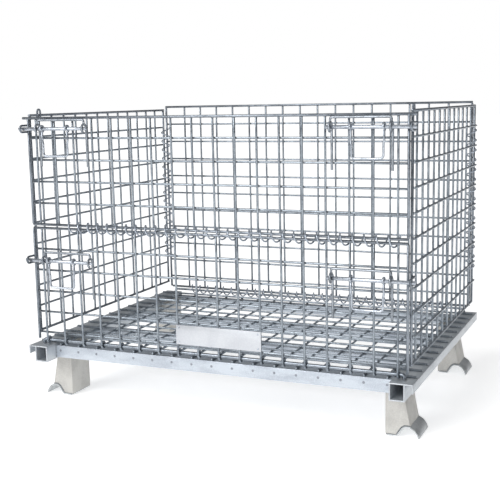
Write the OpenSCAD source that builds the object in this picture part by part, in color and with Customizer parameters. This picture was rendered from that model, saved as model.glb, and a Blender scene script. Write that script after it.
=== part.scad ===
// Folding wire mesh container: welded wire panels on a formed steel base,
// hinged together with open wire coils and locked with four sliding bolts.
// Millimetres, +Z up. The origin is on the floor under the middle of the
// container, and -Y is the loading side with the half-height drop gate.

/* [Mesh] */
// Pitch of the mesh wires, both ways
cell = 50; // [48:1:52]
// Mesh wire diameter
wire_d = 5; // [4:0.5:5.5]
// Diameter of the rods that frame each panel
rod_d = 6; // [5:0.5:6.5]

/* [Heights above the floor] */
// Top rod of the drop gate
gate_rim_z = 666.3; // [664:0.1:668]
// Axis of the coil between the drop gate and the lower front panel
mid_coil_z = 417.3; // [415:0.1:419]
// Top rod of both side panels
side_rim_z = 672.5; // [668:0.5:676]
// Top rod of the back panel
back_rim_z = 681.5; // [678:0.5:690]
// Top face of the side rails
rail_top_z = 134; // [134:1:135]

/* [Base] */
// Distance from the middle to the outside of the rail lip
base_half_w = 463; // [462:1:466]
// Sheet thickness of the rails and bearers
sheet_t = 3; // [2.5:0.5:3.5]
// Depth of each leg, front to back
leg_depth = 76.5; // [60:0.5:80]
// Height of the stacking arch under each leg
saddle_h = 24; // [22:1:26]

/* [Coils] */
// Coil wire diameter
coil_wire_d = 3.6; // [3:0.2:4]
// Mean radius of the coils
coil_r = 11.6; // [11.6:0.1:12]
// Distance between two turns
coil_pitch = 25; // [24:0.5:26]

/* [Bolts] */
// Diameter of the sliding bolt rods
bolt_d = 8; // [7:0.25:8]
// Height of the two bolts on the drop gate
upper_bolt_z = 642.3; // [640:0.1:644]
// Height of the two bolts on the lower front panel
lower_bolt_z = 338; // [334:1:342]
// Free running gap between a bolt and its handle eyes
eye_gap = 0.35; // [0.25:0.05:0.45]

/* [Hidden] */
$fn = 32;

// the drawing frame has Y = 0 at the front mesh; shift puts the origin mid-depth
shift = -319.5;
wr = wire_d / 2;
rr = rod_d / 2;
br = bolt_d / 2;
ncol = 18;                    // cells across the front
half_w = ncol * cell / 2;     // 450
side_x = half_w;              // plane of the side panels' vertical wires
front_x = half_w - 4;         // corner rods of the front panels
gap = 0.1;                    // weld gap between the rods of one frame
back_y = 653;                 // plane of the back panel's vertical wires
back_pitch = 51;              // pitch of its 16 upright wires
end_front = -22;              // rails stick out in front of the mesh
end_rear = 661;
zinc = [0.78, 0.81, 0.84];
dull = [0.70, 0.71, 0.70];

// front hinge: rings on the lower panel turn round a fixed rod
fh_y = 7; fh_z = rail_top_z + 10.5; fh_r = 4;
// middle coil axis, 4.3 in front of the two rods that it wraps
off = 4.3;
mc_y = -off;
// rear hinge axis, 4.3 in front of the back panel
rh_y = back_y - off; rh_z = rail_top_z + 13;
// the bolts run in front of the mesh, clear of it by their handles' eyes
bolt_y = -12;
// vertical corner coils
cc_x = half_w - 6.2; cc_y = 647;

function unit(v) = v / norm(v);

// straight round bar from p to q
module seg(p, q, r) {
  v = q - p; L = norm(v);
  translate(p) rotate([0, acos(v.z / L), atan2(v.y, v.x)]) cylinder(h = L, r = r);
}
module rodx(x0, x1, y, z, r) { translate([x0, y, z]) rotate([0, 90, 0]) cylinder(h = x1 - x0, r = r); }
module rody(y0, y1, x, z, r) { translate([x, y1, z]) rotate([90, 0, 0]) cylinder(h = y1 - y0, r = r); }
module rodz(z0, z1, x, y, r) { translate([x, y, z0]) cylinder(h = z1 - z0, r = r); }
// bent bar: centre c, u points to the start, v is the way it sets off
module arc(c, u, v, R, a, r) {
  w = cross(u, v);
  multmatrix([[u.x, v.x, w.x, c.x], [u.y, v.y, w.y, c.y], [u.z, v.z, w.z, c.z], [0, 0, 0, 1]])
    rotate_extrude(angle = a) translate([R, 0]) circle(r = r);
}
// round bar that follows the points P, with every corner bent to radius R
module bent(P, r, R) {
  n = len(P);
  D = [for (i = [0:n - 2]) unit(P[i + 1] - P[i])];
  T = [for (i = [0:n - 1]) (i == 0 || i == n - 1) ? 0 : R * tan(acos(D[i - 1] * D[i]) / 2)];
  for (i = [0:n - 2]) seg(P[i] + D[i] * T[i], P[i + 1] - D[i] * T[i + 1], r);
  for (i = [1:n - 2]) {
    a = D[i - 1]; b = D[i]; m = unit(b - a * (a * b));
    arc(P[i] - a * T[i] + m * R, -m, a, R, acos(a * b), r);
  }
}
module at_frame() { translate([0, shift, 0]) children(); }
module hand(s) { if (s > 0) children(); else mirror([1, 0, 0]) children(); }

// helix along +X, starting at angle a0, measured from +Y towards +Z
function circ(c, u, v, r, n) = [for (k = [0:n - 1]) c + u * r * cos(360 * k / n) + v * r * sin(360 * k / n)];
module coil(L, a0, pitch = coil_pitch, spt = 10, ns = 6) {
  N = floor(L / pitch * spt);
  R = coil_r; r = coil_wire_d / 2;
  pts = [for (i = [0:N]) let (a = a0 + 360 * i / spt,
           c = [pitch * i / spt, R * cos(a), R * sin(a)],
           t = unit([pitch / (2 * PI * R), -sin(a), cos(a)]),
           u = [0, cos(a), sin(a)], v = cross(t, u))
         each circ(c, u, v, r, ns)];
  F = [for (i = [0:N - 1]) for (k = [0:ns - 1])
         let (a = i * ns + k, b = i * ns + (k + 1) % ns) each [[a, b, b + ns], [a, b + ns, a + ns]]];
  polyhedron(pts, concat([[for (k = [ns - 1:-1:0]) k]], F, [[for (k = [0:ns - 1]) N * ns + k]]));
}

// ---- base ----
module side_rail(s) {
  color(dull) at_frame() hand(s) translate([0, end_rear, 0]) rotate([90, 0, 0])
    linear_extrude(height = end_rear - end_front) {
      difference() {
        translate([413, rail_top_z - 38]) square([33, 38]);
        translate([413 + sheet_t, rail_top_z - 38 + sheet_t]) square([33 - 2 * sheet_t, 38 - 2 * sheet_t]);
      }
      translate([446, rail_top_z - sheet_t]) square([base_half_w - 446, sheet_t]);
      translate([base_half_w - sheet_t, rail_top_z - 20]) square([sheet_t, 20 - sheet_t]);
    }
}
module side_rail_left() { side_rail(-1); }
module side_rail_right() { side_rail(1); }

rail_x = 412.9;
flange_z = rail_top_z - 5;   // top of the flange that carries the long wires
module front_rail() {
  color(zinc) at_frame() union() {
    translate([-rail_x, 15, flange_z - 29]) cube([2 * rail_x, sheet_t, 29]);
    translate([-rail_x, 15, flange_z - sheet_t]) cube([2 * rail_x, 30, sheet_t]);
  }
}
module rear_rail() {
  color(zinc) at_frame() union() {
    translate([-rail_x, 639 - sheet_t, flange_z - 29]) cube([2 * rail_x, sheet_t, 29]);
    translate([-rail_x, 607, flange_z - sheet_t]) cube([2 * rail_x, 32, sheet_t]);
  }
}
// two pressed channels under the deck
module deck_bearers() {
  color(dull) at_frame() for (y = [200, 400])
    translate([-rail_x, y, flange_z - 25]) rotate([90, 0, 90]) linear_extrude(height = 2 * rail_x)
      difference() { translate([-20, 0]) square([40, 25]); translate([-20 + sheet_t, -1]) square([40 - 2 * sheet_t, 26 - sheet_t]); }
}
module deck_long_wires() {
  color(zinc) at_frame() for (i = [-8:8]) rody(16, 630, i * cell, flange_z + wr, wr);
}
module deck_cross_wires() {
  color(zinc) at_frame() for (j = [0:12]) rodx(-458, 458, 25 + j * cell, rail_top_z + wr, wr);
}
leg_in = 389; leg_front = 40.5; leg_rear = 532;
// outline of the arch from the ground up and down again, and its inside face
ak = saddle_h / 24;
arch_out = [[411, 0], [419, 12 * ak], [424, 20 * ak], [431, saddle_h], [442, saddle_h], [452, 18 * ak], [459, 9 * ak], [462, 0]];
function seg_n(a, b) = let (d = unit(b - a)) [d.y, -d.x];
function inset(P, t) = [for (i = [0:len(P) - 1])
  (i == 0) ? [P[0].x + t / seg_n(P[0], P[1]).x, 0] :
  (i == len(P) - 1) ? [P[i].x + t / seg_n(P[i - 1], P[i]).x, 0] :
  let (n1 = seg_n(P[i - 1], P[i]), n2 = seg_n(P[i], P[i + 1]), m = unit(n1 + n2)) P[i] + m * t / (m * n1)];
function rev(P) = [for (i = [len(P) - 1:-1:0]) P[i]];
// formed box leg with a sloping outer side, cut out over its saddle
module leg(s, y) {
  top = flange_z - sheet_t - gap;
  under = rail_top_z - 38 - gap;
  color([0.80, 0.80, 0.77]) at_frame() hand(s) translate([0, y + leg_depth, 0]) rotate([90, 0, 0]) difference() {
    linear_extrude(height = leg_depth) polygon(concat([[leg_in, sheet_t + gap], [leg_in, top], [rail_x, top], [rail_x, under],
      [428, under], [441, 30], [442.6, saddle_h + gap], [430.6, saddle_h + gap], [423.7, 20 * ak + gap], [418.7, 12 * ak + gap], [411 + 2, sheet_t + gap]]));
    translate([0, 0, 2.5]) linear_extrude(height = leg_depth - 5)
      polygon([[leg_in + 2.5, -1], [leg_in + 2.5, top - 2.5], [rail_x - 2.5, top - 2.5],
               [rail_x - 2.5, under - 2.5], [425.6, under - 2.5], [438.6, 29.5], [440.8, 10], [440.8, -1]]);
  }
}
module leg_front_left() { leg(-1, leg_front); }
module leg_front_right() { leg(1, leg_front); }
module leg_rear_left() { leg(-1, leg_rear); }
module leg_rear_right() { leg(1, leg_rear); }
// sole plate bent into an arch that sits over the rim of the container below
module saddle(s, y) {
  color(dull) at_frame() hand(s) translate([0, y + leg_depth + 2, 0]) rotate([90, 0, 0]) linear_extrude(height = leg_depth + 4)
    polygon(concat([[leg_in + 3, 0], [leg_in + 3, sheet_t], [411 + 2, sheet_t]], [for (i = [1:7]) arch_out[i]], rev(inset(arch_out, sheet_t))));
}
module saddle_front_left() { saddle(-1, leg_front); }
module saddle_front_right() { saddle(1, leg_front); }
module saddle_rear_left() { saddle(-1, leg_rear); }
module saddle_rear_right() { saddle(1, leg_rear); }
// rods with turned-down ends that stand on the side rails
module front_hinge_rod() {
  color(zinc) at_frame() bent([[-438, fh_y, rail_top_z], [-438, fh_y, fh_z], [438, fh_y, fh_z], [438, fh_y, rail_top_z]], fh_r, 6);
}
module rear_hinge_rod() {
  color(zinc) at_frame() bent([[-430, back_y, rail_top_z], [-430, back_y, rh_z - off], [430, back_y, rh_z - off], [430, back_y, rail_top_z]], rr, 4.5);
}
module rear_hinge_coil() {
  color(zinc) at_frame() translate([-377.75, rh_y, rh_z]) coil(766, 0, back_pitch / 2);
}

// ---- back panel ----
back_cx = cc_x - 1.5;    // its corner rods stand inside the corner coils
back_low = rh_z + off;
module back_frame() {
  color(zinc) at_frame() {
    rodx(-444, 444, back_y, back_rim_z, rr);
    rodx(-439, 439, back_y, back_low, rr);
    for (s = [-1, 1]) rodz(back_low + gap, back_rim_z - rr - gap, s * back_cx, back_y, rr);
  }
}
module back_vertical_wires() {
  color(zinc) at_frame() for (i = [0:15]) rodz(back_low + rr, back_rim_z - rr, (i - 7.5) * back_pitch, back_y, wr);
}
module back_horizontal_wires() {
  color(zinc) at_frame() for (j = [1:10]) rodx(-444, 444, back_y + wr + wr, back_rim_z - j * cell, wr);
}

// ---- side panels ----
side_low_z = rail_top_z + 31;
side_front_y = 12;
module side_frame(s) {
  color(zinc) at_frame() hand(s) {
    rody(side_front_y - rr, cc_y + rr, side_x, side_rim_z, rr);
    rody(side_front_y - rr, cc_y + rr, side_x, side_low_z, rr);
    for (y = [side_front_y, cc_y]) rodz(side_low_z + rr + gap, side_rim_z - rr - gap, side_x, y, rr);
  }
}
module side_vertical_wires(s) {
  color(zinc) at_frame() hand(s) for (j = [1:12]) rodz(side_low_z + rr, side_rim_z - rr, side_x, cc_y - j * cell, wr);
}
module side_horizontal_wires(s) {
  color(zinc) at_frame() hand(s) for (j = [1:9]) rody(10, 649, side_x + wr + wr, side_rim_z - j * cell, wr);
}
// coil round the rear rod of the side panel and the corner rod of the back panel
module corner_coil(s) {
  color(zinc) at_frame() hand(s) translate([cc_x, cc_y, 240.75]) rotate([0, -90, 0]) coil(382, 0);
}
// wire loops that the bolts slide into
module bolt_keepers(s) {
  x = side_x + rr + wr - 0.05;
  color(zinc) at_frame() hand(s) for (z = [lower_bolt_z, upper_bolt_z]) union() {
    rody(bolt_y, 17, x, z + 7.5, wr);
    rody(bolt_y, 17, x, z - 7.5, wr);
    arc([x, bolt_y, z], [0, 0, 1], [0, -1, 0], 7.5, 180, wr);
  }
}
// stacking loop on the inner side of the top rod
module top_hook(s) {
  x = side_x - rr - wr + 0.02; z = side_rim_z + 7.5;
  color(zinc) at_frame() hand(s) union() {
    for (y = [34.5, 45.5]) rodz(z - 18, z, x, y, wr);
    arc([x, 40, z], [0, -1, 0], [0, 0, 1], 5.5, 180, wr);
  }
}
module side_frame_left() { side_frame(-1); }
module side_vertical_wires_left() { side_vertical_wires(-1); }
module side_horizontal_wires_left() { side_horizontal_wires(-1); }
module corner_coil_left() { corner_coil(-1); }
module bolt_keepers_left() { bolt_keepers(-1); }
module top_hook_left() { top_hook(-1); }
module side_frame_right() { side_frame(1); }
module side_vertical_wires_right() { side_vertical_wires(1); }
module side_horizontal_wires_right() { side_horizontal_wires(1); }
module corner_coil_right() { corner_coil(1); }
module bolt_keepers_right() { bolt_keepers(1); }
module top_hook_right() { top_hook(1); }

// ---- lower front panel ----
low_top = mid_coil_z - off;
stagger = 1;      // sets the lower wires just clear of the coil's turns
module lower_frame() {
  color(zinc) at_frame() {
    rodx(-front_x, front_x, 0, low_top, rr);
    for (s = [-1, 1]) rodz(148, low_top - rr - gap, s * front_x, 0, rr);
  }
}
module lower_vertical_wires() {
  color(zinc) at_frame() for (i = [0:ncol - 1]) rodz(fh_z, low_top - rr, (i - (ncol - 1) / 2) * cell + stagger, 0, wr);
}
module lower_horizontal_wires() {
  color(zinc) at_frame() for (j = [1:5]) rodx(-front_x, front_x, wire_d, low_top - j * cell, wr);
}
// the wires' lower ends are curled into rings round the fixed rod
module lower_hinge_rings() {
  color(zinc) at_frame() for (i = [0:ncol - 1])
    arc([(i - (ncol - 1) / 2) * cell + stagger, fh_y, fh_z], [0, -1, 0], [0, 0, -1], fh_y, 290, wr);
}
module mid_coil() {
  color(zinc) at_frame() translate([-344.96, mc_y, mid_coil_z]) coil(775, 66);
}
module label_plate() {
  color([0.86, 0.87, 0.88]) at_frame() translate([-76, -wr - 1.25, 166]) cube([204.5, 1.2, 44]);
}
// bolt guide: two legs curled round the bolt, joined by a bar above it
module guide(s, z) {
  gr = 2.7; R = 9.4; y = -0.2 - R;
  color(zinc) at_frame() hand(s) union() {
    for (x = [289, 414]) {
      rodz(z - 86, z, x, -0.2, gr);
      arc([x, y, z], [0, 1, 0], [0, 0, 1], R, 250, gr);
    }
    bent([[289, y, z + R], [289, y, z + 19.5], [414, y, z + 19.5], [414, y, z + R]], gr, 6);
  }
}
module lower_guide_left() { guide(-1, lower_bolt_z); }
module lower_guide_right() { guide(1, lower_bolt_z); }

// ---- drop gate ----
gate_low = mid_coil_z + off;
module gate_frame() {
  color(zinc) at_frame() {
    rodx(-461, 461, 0, gate_rim_z, rr);
    rodx(-front_x, front_x, 0, gate_low, rr);
    for (s = [-1, 1]) rodz(gate_low + rr + gap, gate_rim_z - rr - gap, s * front_x, 0, rr);
  }
}
module gate_vertical_wires() {
  color(zinc) at_frame() for (i = [0:ncol - 1]) rodz(gate_low + rr, gate_rim_z - rr, (i - (ncol - 1) / 2) * cell, 0, wr);
}
module gate_horizontal_wires() {
  color(zinc) at_frame() for (j = [0:3]) rodx(-front_x, front_x, wire_d, gate_rim_z - 45.7 - j * cell, wr);
}
module gate_guide_left() { guide(-1, upper_bolt_z); }
module gate_guide_right() { guide(1, upper_bolt_z); }

// ---- bolts ----
module bolt(s, z) { color(zinc) at_frame() hand(s) rodx(280, 464, bolt_y, z, br); }
// hanging U handle whose eyes turn on the bolt
module handle(s, z) {
  hr = wr; R = br + eye_gap + hr;
  color(zinc) at_frame() hand(s) union() {
    for (x = [332, 400]) arc([x, bolt_y, z], [0, 0, -1], [0, 1, 0], R, 300, hr);
    bent([[332, bolt_y, z - R], [332, bolt_y, z - 62], [400, bolt_y, z - 62], [400, bolt_y, z - R]], hr, 9);
  }
}
module gate_bolt_left() { bolt(-1, upper_bolt_z); }
module gate_bolt_right() { bolt(1, upper_bolt_z); }
module lower_bolt_left() { bolt(-1, lower_bolt_z); }
module lower_bolt_right() { bolt(1, lower_bolt_z); }
module gate_handle_left() { handle(-1, upper_bolt_z); }
module gate_handle_right() { handle(1, upper_bolt_z); }
module lower_handle_left() { handle(-1, lower_bolt_z); }
module lower_handle_right() { handle(1, lower_bolt_z); }

side_rail_left();
side_rail_right();
front_rail();
rear_rail();
deck_bearers();
deck_long_wires();
deck_cross_wires();
leg_front_left();
leg_front_right();
leg_rear_left();
leg_rear_right();
saddle_front_left();
saddle_front_right();
saddle_rear_left();
saddle_rear_right();
front_hinge_rod();
rear_hinge_rod();
rear_hinge_coil();
back_frame();
back_vertical_wires();
back_horizontal_wires();
side_frame_left();
side_vertical_wires_left();
side_horizontal_wires_left();
corner_coil_left();
bolt_keepers_left();
top_hook_left();
side_frame_right();
side_vertical_wires_right();
side_horizontal_wires_right();
corner_coil_right();
bolt_keepers_right();
top_hook_right();
lower_frame();
lower_vertical_wires();
lower_horizontal_wires();
lower_hinge_rings();
mid_coil();
label_plate();
lower_guide_left();
lower_guide_right();
gate_frame();
gate_vertical_wires();
gate_horizontal_wires();
gate_guide_left();
gate_guide_right();
gate_bolt_left();
gate_bolt_right();
lower_bolt_left();
lower_bolt_right();
gate_handle_left();
gate_handle_right();
lower_handle_left();
lower_handle_right();
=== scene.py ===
# Looks of the folding wire mesh container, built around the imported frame.
import math

import bpy
import bmesh
import numpy as np
from mathutils import Matrix, Vector


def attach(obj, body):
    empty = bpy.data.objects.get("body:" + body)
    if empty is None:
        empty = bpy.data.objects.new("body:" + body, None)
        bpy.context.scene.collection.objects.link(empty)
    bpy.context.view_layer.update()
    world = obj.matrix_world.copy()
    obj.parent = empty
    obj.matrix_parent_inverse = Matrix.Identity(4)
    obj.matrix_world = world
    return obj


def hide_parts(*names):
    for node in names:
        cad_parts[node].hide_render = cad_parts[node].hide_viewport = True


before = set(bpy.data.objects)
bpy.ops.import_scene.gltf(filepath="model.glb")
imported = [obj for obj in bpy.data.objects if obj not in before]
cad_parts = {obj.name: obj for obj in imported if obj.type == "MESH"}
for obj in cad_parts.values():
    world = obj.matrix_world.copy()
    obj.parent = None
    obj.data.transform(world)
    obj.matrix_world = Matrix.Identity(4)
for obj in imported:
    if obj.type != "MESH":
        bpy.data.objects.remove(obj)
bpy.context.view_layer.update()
MM = 0.001
SH = -319.5

# ------------------------------------------------------------------ materials


def nodes_of(name):
    m = bpy.data.materials.new(name)
    m.use_nodes = True
    t = m.node_tree
    return m, t, t.nodes["Principled BSDF"]


def metal(name, light, dark, rough=(0.25, 0.45), metallic=0.85, grain=420.0, bump=0.12, cloud=34.0, streak=None):
    """Zinc-plated steel: cloudy tone, fine crystals, small pits, uneven gloss."""
    m, t, bsdf = nodes_of(name)
    n, l = t.nodes, t.links
    co = n.new("ShaderNodeTexCoord")
    src = co.outputs["Object"]
    if streak:
        mp = n.new("ShaderNodeMapping")
        mp.inputs["Scale"].default_value = streak
        l.new(src, mp.inputs["Vector"])
        src = mp.outputs["Vector"]
    a = n.new("ShaderNodeTexNoise")
    a.inputs["Scale"].default_value = cloud
    a.inputs["Detail"].default_value = 6.0
    a.inputs["Roughness"].default_value = 0.6
    l.new(src, a.inputs["Vector"])
    v = n.new("ShaderNodeTexVoronoi")
    v.inputs["Scale"].default_value = grain
    l.new(co.outputs["Object"], v.inputs["Vector"])
    mix = n.new("ShaderNodeMath")
    mix.operation = "MULTIPLY_ADD"
    mix.inputs[1].default_value = 0.25
    l.new(v.outputs["Distance"], mix.inputs[0])
    l.new(a.outputs["Fac"], mix.inputs[2])
    ramp = n.new("ShaderNodeValToRGB")
    ramp.color_ramp.elements[0].position = 0.36
    ramp.color_ramp.elements[0].color = (*dark, 1)
    ramp.color_ramp.elements[1].position = 0.74
    ramp.color_ramp.elements[1].color = (*light, 1)
    l.new(mix.outputs[0], ramp.inputs["Fac"])
    l.new(ramp.outputs["Color"], bsdf.inputs["Base Color"])
    g = n.new("ShaderNodeTexNoise")
    g.inputs["Scale"].default_value = 140.0
    g.inputs["Detail"].default_value = 4.0
    l.new(co.outputs["Object"], g.inputs["Vector"])
    mr = n.new("ShaderNodeMapRange")
    mr.inputs["From Min"].default_value = 0.3
    mr.inputs["From Max"].default_value = 0.7
    mr.inputs["To Min"].default_value = rough[0]
    mr.inputs["To Max"].default_value = rough[1]
    l.new(g.outputs["Fac"], mr.inputs["Value"])
    l.new(mr.outputs["Result"], bsdf.inputs["Roughness"])
    f = n.new("ShaderNodeTexNoise")
    f.inputs["Scale"].default_value = 900.0
    f.inputs["Detail"].default_value = 3.0
    l.new(co.outputs["Object"], f.inputs["Vector"])
    b = n.new("ShaderNodeBump")
    b.inputs["Strength"].default_value = bump
    b.inputs["Distance"].default_value = 0.0004
    l.new(f.outputs["Fac"], b.inputs["Height"])
    l.new(b.outputs["Normal"], bsdf.inputs["Normal"])
    bsdf.inputs["Metallic"].default_value = metallic
    return m


MESH = metal("zinc_mesh_wire", (0.34, 0.38, 0.42), (0.15, 0.17, 0.20), rough=(0.24, 0.42), metallic=0.9)
ROD = metal("zinc_frame_rod", (0.29, 0.32, 0.36), (0.12, 0.14, 0.16), rough=(0.24, 0.40), metallic=0.9)
COIL = metal("zinc_coil_wire", (0.52, 0.57, 0.64), (0.30, 0.33, 0.38), rough=(0.20, 0.36), metallic=0.92, cloud=60)
LATCH = metal("zinc_latch_rod", (0.56, 0.60, 0.66), (0.26, 0.29, 0.33), rough=(0.22, 0.40), metallic=0.9, cloud=50)
STRIP = metal("zinc_sheet_strip", (0.62, 0.67, 0.73), (0.42, 0.46, 0.52), rough=(0.30, 0.48), metallic=0.65, streak=(0.25, 1, 1), cloud=40)
RAIL = metal("zinc_sheet_rail", (0.60, 0.63, 0.66), (0.40, 0.43, 0.46), rough=(0.34, 0.52), metallic=0.7, streak=(1, 0.25, 1), cloud=30)
LEG = metal("warm_sheet_leg", (0.60, 0.59, 0.56), (0.44, 0.43, 0.41), rough=(0.40, 0.58), metallic=0.45, cloud=22)
SADDLE = metal("saddle_plate", (0.62, 0.64, 0.65), (0.36, 0.38, 0.39), rough=(0.32, 0.5), metallic=0.7, cloud=30)
GUIDE = metal("zinc_guide_rod", (0.36, 0.39, 0.43), (0.17, 0.19, 0.21), rough=(0.26, 0.44), metallic=0.9, cloud=50)
PLATE = metal("label_plate_zinc", (0.66, 0.68, 0.71), (0.54, 0.56, 0.60), rough=(0.28, 0.4), metallic=0.6, cloud=12, bump=0.06)
# Dark weld metal for the real welds, also used for the painted shade lines along the leg arches.
WELD_AND_SHADE_LINE = metal("weld_metal_and_shade_line", (0.36, 0.38, 0.40), (0.14, 0.15, 0.16), rough=(0.35, 0.6), metallic=0.85, cloud=160, bump=0.4)
SPOT = metal("spot_weld_mark", (0.34, 0.36, 0.40), (0.18, 0.20, 0.23), rough=(0.4, 0.6), metallic=0.7, cloud=200, bump=0.4)

# ------------------------------------------------------------------ geometry


def wob(seed, k):
    return math.sin(seed * 12.9898 + k * 78.233) * 43758.5453 % 1.0 - 0.5


class Build:
    def __init__(self):
        self.v, self.f = [], []

    def tube(self, pts, r, sides=12, cham=0.45, squash=None):
        """Round wire along pts (mm, drawing frame), with slightly broken ends."""
        p = [np.array(q, float) for q in pts]
        n = len(p)
        tan = []
        for i in range(n):
            d = p[min(i + 1, n - 1)] - p[max(i - 1, 0)]
            tan.append(d / np.linalg.norm(d))
        ref = np.array([0.0, 0.0, 1.0]) if abs(tan[0][2]) < 0.9 else np.array([1.0, 0.0, 0.0])
        u = np.cross(tan[0], ref)
        u /= np.linalg.norm(u)
        rings = []
        for i in range(n):
            t = tan[i]
            u = u - t * np.dot(u, t)
            u /= np.linalg.norm(u)
            rings.append((p[i], t, u.copy(), np.cross(t, u)))
        c0, t0, u0, w0 = rings[0]
        c1, t1, u1, w1 = rings[-1]
        seq = [(c0, u0, w0, r - cham), (c0 + t0 * cham, u0, w0, r)]
        seq += [(c, a, b, r) for c, _, a, b in rings[1:-1]]
        seq += [(c1 - t1 * cham, u1, w1, r), (c1, u1, w1, r - cham)]
        base = len(self.v)
        for c, a, b, rad in seq:
            for k in range(sides):
                g = 2 * math.pi * k / sides
                q = c + a * rad * math.cos(g) + b * rad * math.sin(g)
                self.v.append((q[0] * MM, (q[1] + SH) * MM, q[2] * MM))
        m = len(seq)
        for i in range(m - 1):
            for k in range(sides):
                a = base + i * sides + k
                b = base + i * sides + (k + 1) % sides
                self.f.append((a, b, b + sides, a + sides))
        self.f.append(tuple(base + k for k in range(sides - 1, -1, -1)))
        self.f.append(tuple(base + (m - 1) * sides + k for k in range(sides)))
        return self

    def wire(self, p, q, r, seed=0.0, bow=0.25, sides=12, steps=7):
        """Straight welded wire with the slight bow a real one has."""
        p, q = np.array(p, float), np.array(q, float)
        d = (q - p) / np.linalg.norm(q - p)
        ref = np.array([0.0, 1.0, 0.0]) if abs(d[1]) < 0.9 else np.array([1.0, 0.0, 0.0])
        a = np.cross(d, ref)
        b = np.cross(d, a)
        s = seed + p[0] * 0.37 + p[1] * 0.61 + p[2] * 0.83
        pts = []
        for i in range(steps):
            t = i / (steps - 1)
            e = math.sin(math.pi * t) * bow
            pts.append(p + (q - p) * t + a * e * wob(s, 1) * 2 + b * e * wob(s, 2))
        return self.tube(pts, r, sides)

    def blob(self, c, rad, seg=10, rows=6):
        base = len(self.v)
        self.v.append((c[0] * MM, (c[1] + SH) * MM, (c[2] + rad[2]) * MM))
        for i in range(1, rows):
            th = math.pi * i / rows
            for k in range(seg):
                g = 2 * math.pi * k / seg
                j = 1 + 0.12 * wob(c[0] + c[1] * 1.7 + c[2] * 2.3 + k * 3.1, i)
                self.v.append(((c[0] + rad[0] * j * math.sin(th) * math.cos(g)) * MM,
                               (c[1] + SH + rad[1] * j * math.sin(th) * math.sin(g)) * MM,
                               (c[2] + rad[2] * math.cos(th)) * MM))
        self.v.append((c[0] * MM, (c[1] + SH) * MM, (c[2] - rad[2]) * MM))
        last = len(self.v) - 1
        for k in range(seg):
            self.f.append((base, base + 1 + k, base + 1 + (k + 1) % seg))
        for i in range(rows - 2):
            for k in range(seg):
                a = base + 1 + i * seg + k
                b = base + 1 + i * seg + (k + 1) % seg
                self.f.append((a, a + seg, b + seg, b))
        o = base + 1 + (rows - 2) * seg
        for k in range(seg):
            self.f.append((last, o + (k + 1) % seg, o + k))
        return self

    def bead(self, p, q, r, step=2.2):
        """Weld bead: overlapping ripples from p to q; also drawn in dark weld metal along the leg arches as a
        painted shade line.
        """
        p, q = np.array(p, float), np.array(q, float)
        L = np.linalg.norm(q - p)
        n = max(2, int(L / step))
        d = (q - p) / L
        for i in range(n + 1):
            c = p + d * (L * i / n)
            k = 1 + 0.25 * wob(i + L, p[0] + p[2])
            self.blob(c, (r * k, r * k, r * k), seg=8, rows=5)
        return self

    def make(self, name, mat, body, replaces=()):
        me = bpy.data.meshes.new(name)
        me.from_pydata(self.v, [], self.f)
        me.validate()
        bm = bmesh.new()
        bm.from_mesh(me)
        bmesh.ops.recalc_face_normals(bm, faces=bm.faces)
        bm.to_mesh(me)
        bm.free()
        me.shade_smooth()
        me.set_sharp_from_angle(angle=math.radians(50))
        o = bpy.data.objects.new(name, me)
        bpy.context.scene.collection.objects.link(o)
        me.materials.append(mat)
        if replaces:
            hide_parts(*replaces)
        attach(o, body)
        return o


def refine(node, name, mat, body, width=0.9, segs=3):
    """The sheet part of the frame with rolled edges in place of sharp ones."""
    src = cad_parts[node]
    me = src.data.copy()
    me.materials.clear()
    bm = bmesh.new()
    bm.from_mesh(me)
    bmesh.ops.remove_doubles(bm, verts=bm.verts, dist=1e-6)
    bmesh.ops.dissolve_limit(bm, angle_limit=math.radians(1), verts=bm.verts, edges=bm.edges)
    bm.to_mesh(me)
    bm.free()
    if me.has_custom_normals:
        me.free_normals_split() if hasattr(me, "free_normals_split") else None
    o = bpy.data.objects.new(name, me)
    bpy.context.scene.collection.objects.link(o)
    me.materials.append(mat)
    b = o.modifiers.new("edges", "BEVEL")
    b.width = width * MM
    b.segments = segs
    b.limit_method = "ANGLE"
    b.angle_limit = math.radians(28)
    b.harden_normals = False
    bpy.context.view_layer.objects.active = o
    for q in bpy.context.selected_objects:
        q.select_set(False)
    o.select_set(True)
    bpy.ops.object.modifier_apply(modifier="edges")
    o.data.shade_smooth()
    o.data.set_sharp_from_angle(angle=math.radians(35))
    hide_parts(node)
    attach(o, body)
    return o


def arc_pts(c, u, v, R, a0, a1, n):
    c, u, v = (np.array(q, float) for q in (c, u, v))
    return [c + u * R * math.cos(math.radians(a0 + (a1 - a0) * i / n)) + v * R * math.sin(math.radians(a0 + (a1 - a0) * i / n)) for i in range(n + 1)]


def rounded(P, R, n=6):
    """Corner points P with every bend rounded to radius R."""
    P = [np.array(p, float) for p in P]
    out = [P[0]]
    for i in range(1, len(P) - 1):
        a = P[i] - P[i - 1]
        b = P[i + 1] - P[i]
        la, lb = np.linalg.norm(a), np.linalg.norm(b)
        a, b = a / la, b / lb
        ang = math.acos(max(-1, min(1, float(np.dot(a, b)))))
        t = min(R * math.tan(ang / 2), la * 0.49, lb * 0.49)
        for k in range(n + 1):
            s = k / n
            out.append((P[i] - a * t) * (1 - s) ** 2 + P[i] * 2 * s * (1 - s) + (P[i] + b * t) * s * s)
    out.append(P[-1])
    return out


CELL, WR, RR = 50.0, 2.5, 3.0
RAIL_T, FLANGE = 134.0, 129.0
GATE_T, MID, SIDE_T, BACK_T = 666.3, 417.3, 672.5, 681.5
LOW_T, GATE_B = MID - 4.3, MID + 4.3
ZB = {"gate": 642.3, "lower": 338.0}
BY = -12.0

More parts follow.
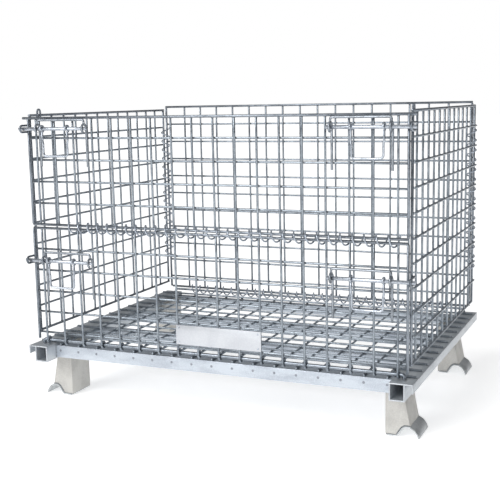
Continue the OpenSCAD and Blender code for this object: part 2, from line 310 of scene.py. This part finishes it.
# ------------------------------------------------------------------ base
for h in ("left", "right"):
    refine(f"side_rail_{h}", f"rail_{h}", RAIL, "base", 1.1)
refine("front_rail", "front_strip", STRIP, "base", 0.9)
refine("rear_rail", "rear_strip", STRIP, "base", 0.9)
refine("deck_bearers", "bearers_under_deck", STRIP, "base", 0.9)
for fr in ("front", "rear"):
    for h in ("left", "right"):
        refine(f"leg_{fr}_{h}", f"leg_{fr}_{h}_sheet", LEG, "base", 1.0)
        refine(f"saddle_{fr}_{h}", f"saddle_{fr}_{h}_plate", SADDLE, "base", 0.7)

b = Build()
for i in range(-8, 9):
    b.wire((i * CELL, 16, FLANGE + WR), (i * CELL, 630, FLANGE + WR), WR, seed=1)
b.make("deck_wires_lengthwise", MESH, "base", ("deck_long_wires",))
b = Build()
for j in range(13):
    b.wire((-458, 25 + j * CELL, RAIL_T + WR), (458, 25 + j * CELL, RAIL_T + WR), WR, seed=2)
b.make("deck_wires_crosswise", MESH, "base", ("deck_cross_wires",))

b = Build()
for j in range(13):
    y = 25 + j * CELL
    for i in range(-8, 9):
        b.blob((i * CELL, y, RAIL_T), (3.0, 3.0, 1.2), seg=8, rows=4)
    for s in (-1, 1):
        for x in (429.5, 455):
            b.blob((s * x, y, RAIL_T + 0.3), (5.0, 3.6, 1.5), seg=8, rows=4)
for i in range(-8, 9):
    b.blob((i * CELL, 30, FLANGE + 0.3), (3.6, 6.0, 1.2), seg=8, rows=4)
    b.blob((i * CELL, 625, FLANGE + 0.3), (3.6, 4.5, 1.2), seg=8, rows=4)
for s in (-1, 1):
    for y0, y1 in ((40.5, 117), (532, 608.5)):
        b.bead((s * 389.6, y0 + 3, 125.6), (s * 389.6, y1 - 3, 125.6), 1.3)
        b.bead((s * 428.2, y0 + 3, 95.8), (s * 428.2, y1 - 3, 95.8), 1.5)
        for y in (y0 + 0.4, y1 - 0.4):
            b.bead((s * 392, y, 3.4), (s * 410, y, 3.4), 1.3)
            b.bead((s * 414, y, 95.8), (s * 427, y, 95.8), 1.3)
    b.bead((s * 413, 15.8, 101), (s * 413, 15.8, 127), 1.5)
    b.bead((s * 413, 638.4, 101), (s * 413, 638.4, 127), 1.5)
    for y in (181, 219, 381, 419):
        b.bead((s * 413, y, 105), (s * 413, y, 127), 1.3)
# Painted shade: dark weld-metal bead lines along the arch on the front and rear faces of each leg stand in for the
# shadow gap between the leg's lower edge and the saddle plate.
ARCH_SHADE_LINE = [(413, 4.2), (418, 13), (423.4, 21), (430.5, 25.3), (441, 25.3)]
for s in (-1, 1):
    for y0, y1 in ((40.5, 117), (532, 608.5)):
        for y in (y0 - 0.2, y1 + 0.2):
            for p, q in zip(ARCH_SHADE_LINE[:-1], ARCH_SHADE_LINE[1:]):
                b.bead((s * p[0], y, p[1]), (s * q[0], y, q[1]), 1.15, 1.4)
b.make("base_welds_and_shade_lines", WELD_AND_SHADE_LINE, "base")

b = Build()
for i in range(-8, 9):
    b.blob((i * CELL, 15.05, 117), (3.0, 0.45, 3.0), seg=14, rows=8)
b.make("front_strip_spot_welds", SPOT, "base")
b = Build()
for i in range(-8, 9):
    b.blob((i * CELL, 638.95, 117), (3.0, 0.45, 3.0), seg=14, rows=8)
b.make("rear_strip_spot_welds", SPOT, "base")

b = Build()
b.tube(rounded([(-438, 7, 134), (-438, 7, 144.5), (438, 7, 144.5), (438, 7, 134)], 6), 4.0, 16)
b.make("front_hinge_bar", ROD, "base", ("front_hinge_rod",))
b = Build()
b.tube(rounded([(-430, 653, 134), (-430, 653, 142.7), (430, 653, 142.7), (430, 653, 134)], 4.5), 3.0, 14)
b.make("rear_hinge_bar", ROD, "base", ("rear_hinge_rod",))
b = Build()
for s in (-1, 1):
    b.blob((s * 438, 7, 135), (5.6, 5.6, 1.8))
    b.blob((s * 430, 653, 135), (4.6, 4.6, 1.8))
b.make("hinge_bar_welds", WELD_AND_SHADE_LINE, "base")


def coil_pts(x0, a0, L, spt=24, pitch=25.0):
    n = int(L / pitch * spt)
    return [(x0 + pitch * i / spt, 11.6 * math.cos(math.radians(a0 + 360 * i / spt)), 11.6 * math.sin(math.radians(a0 + 360 * i / spt))) for i in range(n + 1)]


b = Build()
b.tube([(x, y + 648.7, z + 147) for x, y, z in coil_pts(-377.75, 0, 766, pitch=25.5)], 1.78, 8)
b.make("rear_coil", COIL, "base", ("rear_hinge_coil",))

# ------------------------------------------------------------------ back panel
b = Build()
b.tube([(-444, 653, BACK_T), (0, 653, BACK_T), (444, 653, BACK_T)], RR, 14)
b.tube([(-439, 653, 151.3), (0, 653, 151.3), (439, 653, 151.3)], RR, 14)
for s in (-1, 1):
    b.tube([(s * 442.3, 653, 151.4), (s * 442.3, 653, 400), (s * 442.3, 653, BACK_T - 2.5)], RR, 14)
b.make("back_rods", ROD, "back_panel", ("back_frame",))
b = Build()
for i in range(16):
    b.wire(((i - 7.5) * 51, 653, 153.8), ((i - 7.5) * 51, 653, BACK_T - 2.2), WR, seed=3, bow=0.15)
b.make("back_wires_upright", MESH, "back_panel", ("back_vertical_wires",))
b = Build()
w = Build()
for j in range(1, 11):
    z = BACK_T - j * CELL
    b.wire((-444, 658, z), (444, 658, z), WR, seed=4, bow=0.15)
    for i in range(16):
        w.blob(((i - 7.5) * 51, 655.5, z), (2.9, 1.3, 2.9), seg=8, rows=4)
    for s in (-1, 1):
        w.blob((s * 442.3, 655.8, z), (2.6, 1.3, 2.9), seg=8, rows=4)
for i in range(16):
    w.blob(((i - 7.5) * 51, 653, BACK_T - 3.2), (3.2, 3.0, 1.4), seg=8, rows=4)
    w.blob(((i - 7.5) * 51, 653, 154.6), (3.2, 3.0, 1.4), seg=8, rows=4)
b.make("back_wires_level", MESH, "back_panel", ("back_horizontal_wires",))
w.make("back_welds", WELD_AND_SHADE_LINE, "back_panel")

# ------------------------------------------------------------------ side panels
for h, s in (("left", -1), ("right", 1)):
    body = f"side_panel_{h}"
    X = s * 450
    b = Build()
    for z in (SIDE_T, 165):
        b.tube([(X, 9, z), (X, 325, z), (X, 650, z)], RR, 14)
    for y in (12, 647):
        b.tube([(X, y, 166.5), (X, y, 400), (X, y, SIDE_T - 1.5)], RR, 14)
    b.make(f"side_rods_{h}", ROD, body, (f"side_frame_{h}",))
    b = Build()
    w = Build()
    for j in range(1, 13):
        y = 647 - j * CELL
        b.wire((X, y, 167.5), (X, y, SIDE_T - 2.2), WR, seed=5, bow=0.15)
        w.blob((X, y, SIDE_T - 3.2), (3.0, 3.2, 1.4), seg=8, rows=4)
        w.blob((X, y, 168.3), (3.0, 3.2, 1.4), seg=8, rows=4)
        for k in range(1, 10):
            w.blob((s * 452.5, y, SIDE_T - k * CELL), (1.3, 2.9, 2.9), seg=8, rows=4)
    for k in range(1, 10):
        for y in (12, 647):
            w.blob((s * 452.9, y, SIDE_T - k * CELL), (1.3, 2.9, 2.9), seg=8, rows=4)
    b.make(f"side_wires_upright_{h}", MESH, body, (f"side_vertical_wires_{h}",))
    b = Build()
    for k in range(1, 10):
        z = SIDE_T - k * CELL
        b.wire((s * 455, 10, z), (s * 455, 649, z), WR, seed=6, bow=0.15)
    b.make(f"side_wires_level_{h}", MESH, body, (f"side_horizontal_wires_{h}",))
    b = Build()
    b.tube([(s * (443.8 - z), y + 647, x + 240.75) for x, y, z in coil_pts(0, 0, 382)], 1.78, 8)
    b.make(f"corner_spiral_{h}", COIL, body, (f"corner_coil_{h}",))
    b = Build()
    for zb in ZB.values():
        x = s * 455.45
        b.tube([(x, 17, zb + 7.5), (x, 4, zb + 7.5)] + arc_pts((x, BY, zb), (0, 0, 1), (0, -1, 0), 7.5, 0, 180, 18) + [(x, 4, zb - 7.5), (x, 17, zb - 7.5)], 2.5, 12)
        for dz in (-7.5, 7.5):
            w.blob((s * 452.9, 12, zb + dz), (1.4, 3.2, 3.2), seg=8, rows=4)
    b.make(f"keeper_loops_{h}", ROD, body, (f"bolt_keepers_{h}",))
    b = Build()
    x = s * 444.5
    b.tube([(x, 34.5, SIDE_T - 10.5), (x, 34.5, SIDE_T - 1)] + arc_pts((x, 40, SIDE_T + 7.5), (0, -1, 0), (0, 0, 1), 5.5, 0, 180, 16) + [(x, 45.5, SIDE_T - 1), (x, 45.5, SIDE_T - 10.5)], 2.5, 12)
    for y in (34.5, 45.5):
        w.blob((s * 447.2, y, SIDE_T - 1), (1.4, 3.2, 3.2), seg=8, rows=4)
    b.make(f"hook_{h}", ROD, body, (f"top_hook_{h}",))
    w.make(f"side_welds_{h}", WELD_AND_SHADE_LINE, body)

# ------------------------------------------------------------------ lower front
b = Build()
b.tube([(-446, 0, LOW_T), (0, 0, LOW_T), (446, 0, LOW_T)], RR, 14)
for s in (-1, 1):
    b.tube([(s * 446, 0, 148), (s * 446, 0, 300), (s * 446, 0, LOW_T - 1.5)], RR, 14)
b.make("lower_front_rods", ROD, "front_panel", ("lower_frame",))
b = Build()
g = Build()
w = Build()
cols = [(i - 8.5) * CELL for i in range(18)]
for x in cols:
    x += 1
    b.wire((x, 0, 144.5), (x, 0, LOW_T - 2.2), WR, seed=7, bow=0.1)
    g.tube(arc_pts((x, 7, 144.5), (0, -1, 0), (0, 0, -1), 7, 0, 290, 22), WR, 12)
    w.blob((x, 0, LOW_T - 3.2), (3.2, 3.0, 1.4), seg=8, rows=4)
    for j in range(1, 6):
        w.blob((x, 2.5, LOW_T - j * CELL), (2.9, 1.3, 2.9), seg=8, rows=4)
b.make("lower_front_wires_upright", MESH, "front_panel", ("lower_vertical_wires",))
g.make("hinge_eyes", MESH, "front_panel", ("lower_hinge_rings",))
b = Build()
for j in range(1, 6):
    z = LOW_T - j * CELL
    b.wire((-446, 5, z), (446, 5, z), WR, seed=8, bow=0.1)
    for s in (-1, 1):
        w.blob((s * 444.5, 2.6, z), (2.6, 1.3, 2.9), seg=8, rows=4)
b.make("lower_front_wires_level", MESH, "front_panel", ("lower_horizontal_wires",))
b = Build()
b.tube([(x, y - 4.3, z + MID) for x, y, z in coil_pts(-344.96, 66, 775)], 1.78, 8)
b.make("gate_coil", COIL, "front_panel", ("mid_coil",))
refine("label_plate", "blank_label_plate", PLATE, "front_panel", 0.3, 2)
b = Build()
for x in (-69, 121.5):
    for z in (172, 204):
        b.blob((x, -3.8, z), (2.4, 0.9, 2.4), seg=14, rows=8)
b.make("label_plate_rivets", LATCH, "front_panel")


def guides(level, body, w):
    zb = ZB[level]
    for h, s in (("left", -1), ("right", 1)):
        b = Build()
        gy = -9.6
        for x in (289, 414):
            b.tube([(s * x, -0.2, zb - 86), (s * x, -0.2, zb - 40)] + arc_pts((s * x, gy, zb), (0, 1, 0), (0, 0, 1), 9.4, 0, 250, 22), 2.7, 12)
            for k in range(1, 3):
                z = (GATE_T - 45.7 - (k - 1) * CELL) if level == "gate" else (LOW_T - (k + 1) * CELL)
                w.blob((s * x, 2.5, z), (3.2, 1.2, 3.0), seg=8, rows=4)
        b.tube(rounded([(s * 289, gy, zb + 9.4), (s * 289, gy, zb + 19.5), (s * 414, gy, zb + 19.5), (s * 414, gy, zb + 9.4)], 7), 2.7, 12)
        b.make(f"{level}_bolt_guide_{h}", GUIDE, body, (f"{level}_guide_{h}",))
        for x in (289, 414):
            w.blob((s * x, gy, zb + 10.6), (3.4, 3.4, 2.0), seg=8, rows=4)


guides("lower", "front_panel", w)
w.make("lower_front_welds", WELD_AND_SHADE_LINE, "front_panel")

# ------------------------------------------------------------------ drop gate
b = Build()
b.tube([(-461, 0, GATE_T), (0, 0, GATE_T), (461, 0, GATE_T)], RR, 14)
b.tube([(-446, 0, GATE_B), (0, 0, GATE_B), (446, 0, GATE_B)], RR, 14)
for s in (-1, 1):
    b.tube([(s * 446, 0, GATE_B + 1.5), (s * 446, 0, 540), (s * 446, 0, GATE_T - 1.5)], RR, 14)
b.make("gate_rods", ROD, "gate", ("gate_frame",))
b = Build()
w = Build()
for x in cols:
    b.wire((x, 0, GATE_B + 2.2), (x, 0, GATE_T - 2.2), WR, seed=9, bow=0.1)
    w.blob((x, 0, GATE_T - 3.2), (3.2, 3.0, 1.4), seg=8, rows=4)
    w.blob((x, 0, GATE_B + 3.2), (3.2, 3.0, 1.4), seg=8, rows=4)
    for j in range(4):
        w.blob((x, 2.5, GATE_T - 45.7 - j * CELL), (2.9, 1.3, 2.9), seg=8, rows=4)
b.make("gate_wires_upright", MESH, "gate", ("gate_vertical_wires",))
b = Build()
for j in range(4):
    z = GATE_T - 45.7 - j * CELL
    b.wire((-446, 5, z), (446, 5, z), WR, seed=10, bow=0.1)
    for s in (-1, 1):
        w.blob((s * 444.5, 2.6, z), (2.6, 1.3, 2.9), seg=8, rows=4)
b.make("gate_wires_level", MESH, "gate", ("gate_horizontal_wires",))
guides("gate", "gate", w)
w.make("gate_welds", WELD_AND_SHADE_LINE, "gate")

# ------------------------------------------------------------------ bolts
for level, zb in ZB.items():
    for h, s in (("left", -1), ("right", 1)):
        b = Build()
        b.tube([(s * 280, BY, zb), (s * 370, BY, zb), (s * 464, BY, zb)], 4.0, 16, cham=1.2)
        b.make(f"{level}_bolt_rod_{h}", LATCH, f"{level}_bolt_{h}_body", (f"{level}_bolt_{h}",))
        b = Build()
        R = 6.85
        for x in (332, 400):
            b.tube(arc_pts((s * x, BY, zb), (0, 0, -1), (0, 1, 0), R, 0, 300, 22), WR, 12)
        kink = [(332, zb - R), (332, zb - 26), (333.5, zb - 34), (333.5, zb - 62), (398.5, zb - 62), (398.5, zb - 34), (400, zb - 26), (400, zb - R)]
        b.tube(rounded([(s * x, BY, z) for x, z in kink], 9, 8), WR, 12)
        b.make(f"{level}_bolt_handle_{h}", LATCH, f"{level}_handle_{h}_body", (f"{level}_handle_{h}",))

# ------------------------------------------------------------------ stage
me = bpy.data.meshes.new("floor")
me.from_pydata([(-30, -30, 0), (30, -30, 0), (30, 30, 0), (-30, 30, 0)], [], [(0, 1, 2, 3)])
floor = bpy.data.objects.new("floor", me)
bpy.context.scene.collection.objects.link(floor)
m, t, bsdf = nodes_of("pale_floor")
bsdf.inputs["Base Color"].default_value = (0.96, 0.96, 0.96, 1)
bsdf.inputs["Roughness"].default_value = 0.9
bsdf.inputs["Specular IOR Level"].default_value = 0.1
bsdf.inputs["Emission Color"].default_value = (1, 1, 1, 1)
bsdf.inputs["Emission Strength"].default_value = 0.5
me.materials.append(m)
floor.location = (0, 0, -0.0008)

world = bpy.data.worlds.new("studio")
bpy.context.scene.world = world
world.use_nodes = True
nt = world.node_tree
bg = nt.nodes["Background"]
bg.inputs["Color"].default_value = (1, 1, 1, 1)
bg.inputs["Strength"].default_value = 1.0
lp = nt.nodes.new("ShaderNodeLightPath")
soft = nt.nodes.new("ShaderNodeBackground")
tc = nt.nodes.new("ShaderNodeTexCoord")
sep = nt.nodes.new("ShaderNodeSeparateXYZ")
nt.links.new(tc.outputs["Generated"], sep.inputs[0])
rp = nt.nodes.new("ShaderNodeValToRGB")
rp.color_ramp.elements[0].position = 0.0
rp.color_ramp.elements[0].color = (0.10, 0.11, 0.13, 1)
rp.color_ramp.elements[1].position = 0.75
rp.color_ramp.elements[1].color = (1.0, 1.0, 1.0, 1)
nt.links.new(sep.outputs["Z"], rp.inputs["Fac"])
nt.links.new(rp.outputs["Color"], soft.inputs["Color"])
soft.inputs["Strength"].default_value = 0.5
mx = nt.nodes.new("ShaderNodeMixShader")
nt.links.new(lp.outputs["Is Camera Ray"], mx.inputs["Fac"])
nt.links.new(soft.outputs[0], mx.inputs[1])
nt.links.new(bg.outputs[0], mx.inputs[2])
nt.links.new(mx.outputs[0], nt.nodes["World Output"].inputs["Surface"])


def area(name, loc, size, power, aim=(0, 0, 0.35)):
    d = bpy.data.lights.new(name, "AREA")
    d.shape = "RECTANGLE"
    d.size, d.size_y = size
    d.energy = power
    o = bpy.data.objects.new(name, d)
    bpy.context.scene.collection.objects.link(o)
    o.location = loc
    o.rotation_euler = (Vector(aim) - Vector(loc)).to_track_quat("-Z", "Y").to_euler()


sun = bpy.data.lights.new("sun", "SUN")
sun.energy = 1.55
sun.angle = math.radians(40)
so = bpy.data.objects.new("sun", sun)
bpy.context.scene.collection.objects.link(so)
so.rotation_euler = (Vector((0, 0, 0)) - Vector((-1.1, -2.2, 1.7))).to_track_quat("-Z", "Y").to_euler()
area("key", (-1.2, -3.4, 1.5), (1.2, 1.2), 12)
area("low_card", (0.3, -2.6, 0.35), (2.2, 0.35), 5, (0, -0.3, 0.25))

# ------------------------------------------------------------------ camera
cam = bpy.data.cameras.new("camera")
cam.sensor_width = 36.0
cam.lens = 68.158
cam.clip_start = 0.05
cam.clip_end = 100
co = bpy.data.objects.new("camera", cam)
bpy.context.scene.collection.objects.link(co)
az, el, ro = math.radians(23.905), math.radians(9.083), math.radians(-1.135)
fw = Vector((-math.sin(az) * math.cos(el), math.cos(az) * math.cos(el), -math.sin(el)))
r0 = Vector((math.cos(az), math.sin(az), 0))
u0 = r0.cross(fw)
rt = r0 * math.cos(ro) + u0 * math.sin(ro)
up = -r0 * math.sin(ro) + u0 * math.cos(ro)
M = Matrix((rt, up, -fw)).transposed().to_4x4()
M.translation = Vector((0.90564, -1.80472 + SH * MM, 0.70100))
co.matrix_world = M
bpy.context.scene.camera = co
bpy.context.scene.view_settings.view_transform = "Standard"
